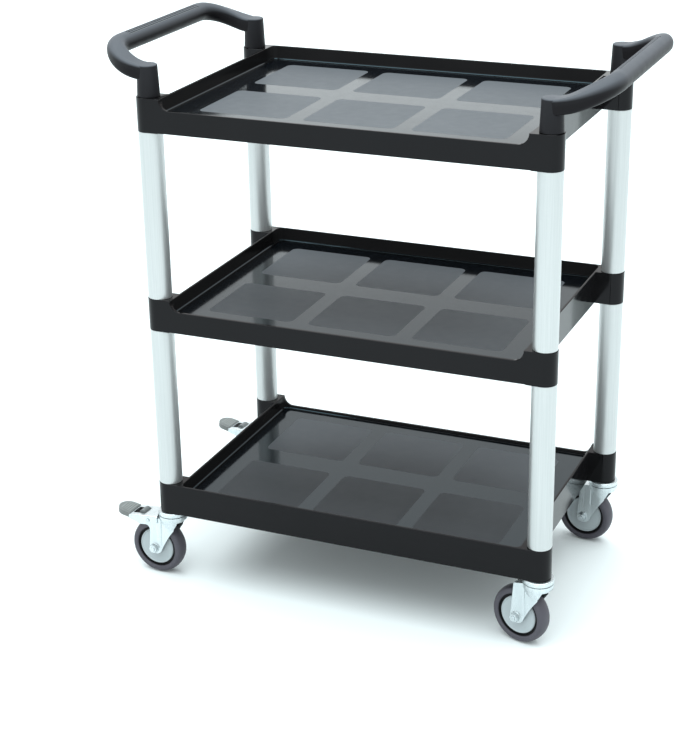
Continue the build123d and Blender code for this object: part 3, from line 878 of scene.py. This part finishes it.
def make_slot_shade_sheet(corner, place):
    """Dark sheet of painted shade under the lever's top plate, which closes the slot behind the shoe's knob."""
    length = SLOT_SHADE_END - SLOT_SHADE_START.x
    lie = Matrix.Translation(SLOT_SHADE_START) @ Matrix.Rotation(math.radians(SLOT_SHADE_SLOPE), 4, "Y")
    middle, size = [(length / 2, 0)], (length, SLOT_SHADE_WIDTH)
    bm = flat_plates(middle, size, SLOT_SHADE_CORNER, -SLOT_SHADE_DROP, SLOT_SHADE_THICKNESS)
    move(bm, place @ lie)
    keep(f"{corner}_brake_slot_shade", bm, f"{corner}_pedal", [black_rim_and_painted_shade])


def make_pedal(corner, place):
    """Lever with its ribbed pad, a dark sheet of painted shade in its slot, shoe and riveted pin."""
    make_lever(corner, place)
    make_pad(corner)
    make_slot_shade_sheet(corner, place)
    for part, width, body, finish, slot in (
        ("brake_shoe", SHOE_ROUND, "pedal", shoe_grey, "core_plastic"),
        ("brake_pin", PIN_ROUND, "swivel", bolt_steel, "zinc_steel"),
    ):
        node = f"{corner}_{part}"
        bm = eased(node, width)
        flat_normals(keep(f"{node}_piece", bm, f"{corner}_{body}", [finish], [node]))


# Handles

ARM_STRAIGHT = 0.0184
ARM_ROOT = 0.03885  # height of the arm's middle over the tray's rim
ARM_RISE = 0.02765  # from there to the grip
ARM_SLOPE = 0.45  # at the grip's corner
ARM_WIDTH = 0.0326
ARM_HEIGHT = 0.0239
ARM_CORNER = 0.004
ARM_STEPS = 30
GRIP_CORNER = 0.061
GRIP_RADIUS = 0.0158
GRIP_ROUNDNESS = 0.995
RING_SEGMENTS = 12
ARM_LENGTH = ARM_STRAIGHT + GRIP_CORNER * math.pi / 2
HALF_GRIP = POST_Y - GRIP_CORNER

STUB_RADIUS = 0.0185
STUB_LEAN = 0.002
STUB_HEIGHT = 0.051
STUB_ROUND = 0.0025
STUB_ARC_STEP = 15  # degrees
STUB_FOOT = 0.0006
STUB_STEPS = 64
SPIGOT_RADIUS = 0.0160
SPIGOT_BORE = 0.0120
SPIGOT_DEPTH = 0.094
MIRROR_MERGE = 0.00001

FLUTE_REACH = 0.120  # from the middle of the grip
FLUTE_ANGLES = (3.75, 18.75, 33.75)  # degrees from the top, towards the tray
FLUTE_HALF_ANGLE = 2
FLUTE_EDGE = 0.0003
FLUTE_DEPTH = 0.0008


def handle_place(travel):
    """Frame square to the handle's centre line, at a distance along its plan from a post's axis."""
    reach = ARM_STRAIGHT + GRIP_CORNER
    turn = min(max(0, travel - ARM_STRAIGHT) / GRIP_CORNER, math.pi / 2)
    x = min(travel, ARM_STRAIGHT) + GRIP_CORNER * math.sin(turn)
    y = GRIP_CORNER * (1 - math.cos(turn)) + max(0, travel - ARM_LENGTH)
    t = x / reach
    z = ARM_ROOT + ARM_RISE * (3 * t**2 - 2 * t**3) + ARM_SLOPE * reach * (t**3 - t**2)
    climb = 6 * ARM_RISE * (t - t**2) / reach + ARM_SLOPE * (3 * t**2 - 2 * t)
    across = Vector((-math.sin(turn), math.cos(turn), 0))
    along = Vector((math.cos(turn), math.sin(turn), climb * math.cos(turn))).normalized()
    axes = Matrix((across, along.cross(across), along)).transposed().to_4x4()
    return Matrix.Translation((MIDDLE_X + POST_X + x, y - POST_Y, TRAY_TOP + z)) @ axes


def handle_ring(bm, travel):
    """Rounded section of the handle: flat on top at the stub, round at the grip."""
    share = min(travel / ARM_LENGTH, 1)
    blend = 3 * share**2 - 2 * share**3
    width = ARM_WIDTH + (2 * GRIP_RADIUS - ARM_WIDTH) * blend
    height = ARM_HEIGHT + (2 * GRIP_RADIUS - ARM_HEIGHT) * blend
    corner = ARM_CORNER + (GRIP_ROUNDNESS * GRIP_RADIUS - ARM_CORNER) * blend
    before = set(bm.faces)
    place = handle_place(travel) @ Matrix.Diagonal((width, height, 1, 1))
    made = bmesh.ops.create_grid(bm, x_segments=1, y_segments=1, size=0.5, matrix=place)
    round_corners(bm, made["verts"], corner, RING_SEGMENTS)
    return next(face for face in bm.faces if face not in before)


def stub_profile():
    """Half section of a stub and its hollow spigot, from the top round to the stub's underside."""
    top, shoulder = STUB_RADIUS - STUB_LEAN - STUB_ROUND, STUB_HEIGHT - STUB_ROUND
    arc = [
        (
            top + STUB_ROUND * math.cos(math.radians(angle)),
            shoulder + STUB_ROUND * math.sin(math.radians(angle)),
        )
        for angle in range(90, -1, -STUB_ARC_STEP)
    ]
    foot = [
        (STUB_RADIUS, STUB_FOOT),
        (STUB_RADIUS - STUB_FOOT, 0),
        (SPIGOT_RADIUS, 0),
        (SPIGOT_RADIUS, -SPIGOT_DEPTH),
        (SPIGOT_BORE, -SPIGOT_DEPTH),
        (SPIGOT_BORE, 0),
    ]
    return [(0, STUB_HEIGHT)] + arc + foot + [(0, 0)]


def cut_flutes(bm):
    """Three fine grooves along the top of the grip, on the trolley's side, their floors painted pale as highlight
    lines.
    """
    axis = handle_place(ARM_LENGTH).translation
    picked = []
    for face in bm.faces:
        centre = face.calc_center_median()
        angle = math.degrees(math.atan2(axis.x - centre.x, centre.z - axis.z))
        if abs(centre.y) < FLUTE_REACH and abs(centre.x - axis.x) < GRIP_RADIUS:
            if any(abs(angle - spot) < FLUTE_HALF_ANGLE for spot in FLUTE_ANGLES):
                picked.append(face)
    bmesh.ops.inset_region(
        bm, faces=picked, thickness=FLUTE_EDGE, use_boundary=True, use_even_offset=True
    )
    for vert in {vert for face in picked for vert in face.verts}:
        towards = Vector((axis.x - vert.co.x, 0, axis.z - vert.co.z)).normalized()
        bmesh.ops.translate(bm, verts=[vert], vec=towards * FLUTE_DEPTH)
    for face in picked:
        face.material_index = SECOND


def make_handle(node, turn):
    """Bent grip on two tapered stubs, square-shouldered at the stubs and round at the grip."""
    bm = bmesh.new()
    stations = [ARM_LENGTH * step / ARM_STEPS for step in range(ARM_STEPS + 1)]
    stations += [ARM_LENGTH + HALF_GRIP - FLUTE_REACH, ARM_LENGTH + HALF_GRIP]
    rings = [handle_ring(bm, travel) for travel in stations]
    for first, second in zip(rings, rings[1:]):
        bmesh.ops.bridge_loops(bm, edges=list(first.edges) + list(second.edges))
    bmesh.ops.delete(bm, geom=rings[1:], context="FACES_ONLY")
    profile = [(MIDDLE_X + POST_X + r, -POST_Y, TRAY_TOP + z) for r, z in stub_profile()]
    join(bm, turned(profile, profile[0], (0, 0, 1), STUB_STEPS, closed=False))
    bmesh.ops.mirror(bm, geom=everything(bm), axis="Y", merge_dist=MIRROR_MERGE)
    cut_flutes(bm)
    middle = Matrix.Translation((MIDDLE_X, 0, 0))
    move(bm, middle @ Matrix.Rotation(turn, 4, "Z") @ middle.inverted())
    bmesh.ops.recalc_face_normals(bm, faces=bm.faces)
    keep(f"{node}_moulding", bm, "trolley", [handle_grey, flute_painted_highlight], [node])


dress_nodes()
make_handle("right_handle", 0)
make_handle("left_handle", math.pi)
for tray_name in TRAYS:
    make_tray(tray_name)
    make_tray_floor(tray_name)
for corner_name in CORNERS:
    stand = caster_matrix(corner_name)
    for tier_name in TIERS:
        make_post(corner_name, tier_name)
    make_tyre(corner_name, stand)
    make_rims(corner_name, stand)
    make_hub_discs(corner_name, stand)
    make_fork(corner_name, stand)
    make_bearing(corner_name, stand)
    if corner_name in BRAKED:
        make_pedal(corner_name, stand)


# Studio

LIGHT_TINT = (0.885, 1.0, 1.02)
FLOOR_REACH = 15  # from its middle to each side
FLOOR_LIT = (0.6, 0.6, 0.6, 1)  # as it throws light back on the trolley
FLOOR_SEEN = (0.97, 0.97, 0.97, 1)
FLOOR_ROUGHNESS = 0.9
SURROUND_STRENGTH = 0.75

CAMERA_AZIMUTH = 23.657  # degrees, from the front to the right
CAMERA_ELEVATION = 22.329
CAMERA_ROLL = -1.03
CAMERA_PLACE = (1.0515 + MIDDLE_X, -2.6155, 1.5263)
CAMERA_SENSOR = 36  # millimetres
CAMERA_LENS = 86.9


def seen_rays(tree):
    """One for the rays that show the surround itself: to the camera, in gloss and through glass."""
    path = tree.nodes.new("ShaderNodeLightPath")
    seen = path.outputs["Is Camera Ray"]
    for ray in ("Is Glossy Ray", "Is Transmission Ray"):
        either = tree.nodes.new("ShaderNodeMath")
        either.operation = "MAXIMUM"
        tree.links.new(seen, either.inputs[0])
        tree.links.new(path.outputs[ray], either.inputs[1])
        seen = either.outputs["Value"]
    return seen


def make_floor():
    """Wide pale floor that takes the trolley's soft shadow."""
    bm = bmesh.new()
    bmesh.ops.create_grid(bm, x_segments=1, y_segments=1, size=FLOOR_REACH)
    mesh = bpy.data.meshes.new("studio_floor")
    bm.to_mesh(mesh)
    bm.free()
    material = bpy.data.materials.new("studio_floor")
    material.use_nodes = True
    tree = material.node_tree
    shader = tree.nodes["Principled BSDF"]
    shade = tree.nodes.new("ShaderNodeMix")
    shade.data_type = "RGBA"
    shade.inputs["A"].default_value = FLOOR_LIT
    shade.inputs["B"].default_value = FLOOR_SEEN
    tree.links.new(seen_rays(tree), shade.inputs["Factor"])
    tree.links.new(shade.outputs["Result"], shader.inputs["Base Color"])
    shader.inputs["Roughness"].default_value = FLOOR_ROUGHNESS
    shader.inputs["Specular IOR Level"].default_value = 0.0
    mesh.materials.append(material)
    floor = bpy.data.objects.new("studio_floor", mesh)
    bpy.context.scene.collection.objects.link(floor)


def make_world():
    """Pale surround, white where it is seen."""
    world = bpy.data.worlds.new("studio")
    world.use_nodes = True
    tree = world.node_tree
    soft = tree.nodes["Background"]
    soft.inputs["Color"].default_value = (*LIGHT_TINT, 1)
    soft.inputs["Strength"].default_value = SURROUND_STRENGTH
    white = tree.nodes.new("ShaderNodeBackground")
    white.inputs["Color"].default_value = (1, 1, 1, 1)
    white.inputs["Strength"].default_value = 1.0
    mix = tree.nodes.new("ShaderNodeMixShader")
    tree.links.new(seen_rays(tree), mix.inputs["Fac"])
    tree.links.new(soft.outputs["Background"], mix.inputs[1])
    tree.links.new(white.outputs["Background"], mix.inputs[2])
    tree.links.new(mix.outputs["Shader"], tree.nodes["World Output"].inputs["Surface"])
    bpy.context.scene.world = world


def make_sun(name, aim, strength, breadth):
    """Broad even light over the whole floor, from a patch of sky so many degrees broad."""
    data = bpy.data.lights.new(name, "SUN")
    data.energy = strength
    data.angle = math.radians(breadth)
    data.color = LIGHT_TINT
    sun = bpy.data.objects.new(name, data)
    sun.rotation_euler = Vector(aim).to_track_quat("-Z", "Y").to_euler()
    bpy.context.scene.collection.objects.link(sun)


def make_lamp(name, place, aim, size, power):
    """Large soft lamp aimed at a point."""
    data = bpy.data.lights.new(name, "AREA")
    data.shape = "RECTANGLE"
    data.size, data.size_y = size
    data.energy = power
    data.color = LIGHT_TINT
    lamp = bpy.data.objects.new(name, data)
    lamp.visible_camera = False
    lamp.location = place
    lamp.rotation_euler = (Vector(aim) - Vector(place)).to_track_quat("-Z", "Y").to_euler()
    bpy.context.scene.collection.objects.link(lamp)


def make_camera():
    """Camera at the photograph's place."""
    azimuth, elevation = math.radians(CAMERA_AZIMUTH), math.radians(CAMERA_ELEVATION)
    roll = math.radians(CAMERA_ROLL)
    back = Vector(
        (
            math.sin(azimuth) * math.cos(elevation),
            -math.cos(azimuth) * math.cos(elevation),
            math.sin(elevation),
        )
    )
    level = Vector((math.cos(azimuth), math.sin(azimuth), 0))
    upright = back.cross(level)
    right = level * math.cos(roll) + upright * math.sin(roll)
    up = upright * math.cos(roll) - level * math.sin(roll)
    data = bpy.data.cameras.new("camera")
    data.sensor_width = CAMERA_SENSOR
    data.lens = CAMERA_LENS
    camera = bpy.data.objects.new("camera", data)
    turn = Matrix((right, up, back)).transposed().to_4x4()
    camera.matrix_world = Matrix.Translation(CAMERA_PLACE) @ turn
    bpy.context.scene.collection.objects.link(camera)
    bpy.context.scene.camera = camera


make_floor()
make_world()
make_sun("overhead", aim=(0.05, 0.05, -1), strength=3.2, breadth=82)
make_lamp("back_softbox", place=(-2.8, 6.3, 2.1), aim=(0, 0, 0.8), size=(8.0, 1.3), power=20)
make_lamp("front_softbox", place=(0.6, -3.4, 2.4), aim=(0, 0, 0.1), size=(3.4, 2.0), power=20)
make_camera()
bpy.context.scene.view_settings.view_transform = "Standard"
